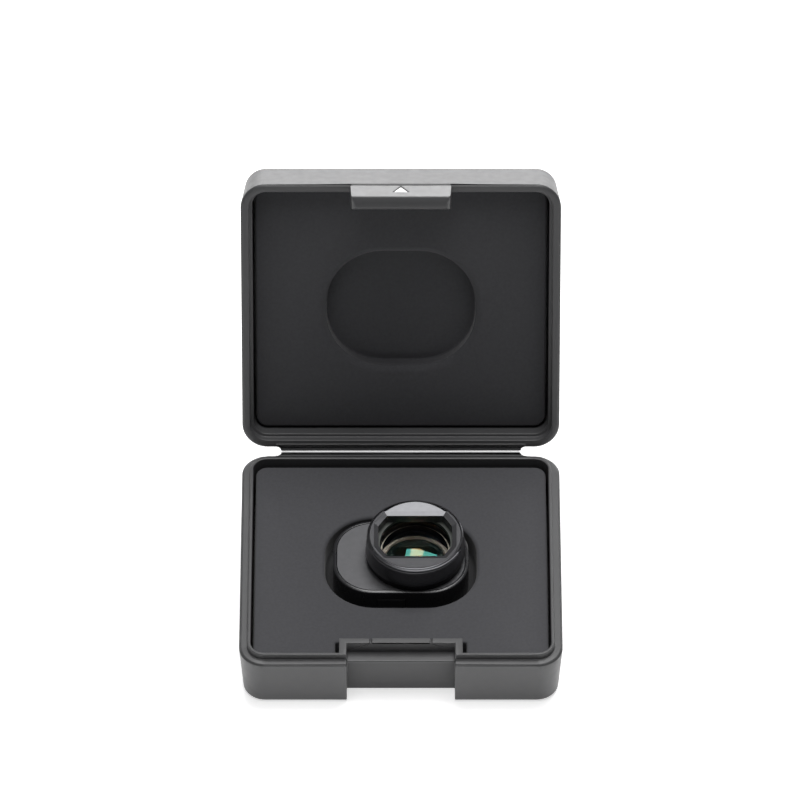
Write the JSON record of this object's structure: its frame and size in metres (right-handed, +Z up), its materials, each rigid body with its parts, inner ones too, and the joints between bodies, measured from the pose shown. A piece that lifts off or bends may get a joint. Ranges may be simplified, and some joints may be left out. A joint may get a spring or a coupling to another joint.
{
  "type": "clip-on converter lens in hinged case",
  "caption": "Small clip-on converter lens with a stadium adapter plate and octagonal hood, in a foam-lined plastic case with a living hinge and a snap latch.",
  "frame": {"origin": "centre of the case's flat underside, on the surface that it stands on", "axes": "+Z up, +X along the hinge to the right seen from the latch side, +Y from the latch to the hinge"},
  "size_m": [0.056, 0.0778, 0.0599],
  "materials": {
    "case_plastic": "fine satin texture",
    "lid_plastic": "fine satin texture",
    "hinge_plastic": "satin, flexed thin",
    "base_foam": "matte flocked foam",
    "lid_foam": "matte flocked foam",
    "adhesive": "thin translucent film",
    "white_mark": "satin print",
    "lens_body": "satin",
    "face_plate": "fine satin texture",
    "barrel": "satin black anodised",
    "front_ring": "satin black anodised with polished edge",
    "hood": "satin",
    "blackened_metal": "matte black",
    "seal_rubber": "matte",
    "front_glass": "coated, clear",
    "spacer": "satin, pale",
    "inner_glass": "green multi-coating"
  },
  "bodies": {
    "base": {"base_shell": "case_plastic", "base_foam": "base_foam", "base_adhesive_pad": "adhesive", "hinge_film": "hinge_plastic"},
    "lid": {"lid_shell": "lid_plastic", "lid_foam": "lid_foam", "lid_adhesive_pad": "adhesive"},
    "latch": {"latch_tab": "lid_plastic", "arrow_mark": "white_mark"},
    "lens": {"mount_frame": "lens_body", "face_plate": "face_plate", "lens_barrel": "barrel", "front_ring": "front_ring", "hood_baffle": "hood", "retaining_ring": "blackened_metal", "front_seal": "seal_rubber", "front_lens": "front_glass", "spacer_ring": "spacer", "second_lens": "inner_glass", "aperture_stop": "blackened_metal", "rear_crown": "inner_glass", "rear_flint": "inner_glass", "rear_gasket": "seal_rubber"},
    "front_arm": {"clip_front": "lens_body"},
    "back_arm": {"clip_back": "lens_body"}
  },
  "joints": [
    {"name": "lid_hinge", "type": "hinge", "parent": "base", "child": "lid", "pos_m": [0, 0.02611, 0.01], "axis": [-1, 0, 0], "range_deg": [-110.5, 69.5]},
    {"name": "latch_flex", "type": "hinge", "parent": "lid", "child": "latch", "pos_m": [0, 0.04376, 0.05807], "axis": [-1, 0, 0], "range_deg": [0, 14], "stiffness_Nm_per_rad": 0.06},
    {"name": "lens_lift", "type": "slide", "parent": "base", "child": "lens", "axis": [0, 0, 1], "range_m": [0, 0.03]},
    {"name": "clip_front_flex", "type": "hinge", "parent": "lens", "child": "front_arm", "pos_m": [-0.00165, -0.00835, 0.0087], "axis": [-1, 0, 0], "range_deg": [0, 6], "stiffness_Nm_per_rad": 0.06},
    {"name": "clip_back_flex", "type": "hinge", "parent": "lens", "child": "back_arm", "pos_m": [-0.00165, 0.00795, 0.0087], "axis": [1, 0, 0], "range_deg": [0, 6], "stiffness_Nm_per_rad": 0.06}
  ]
}
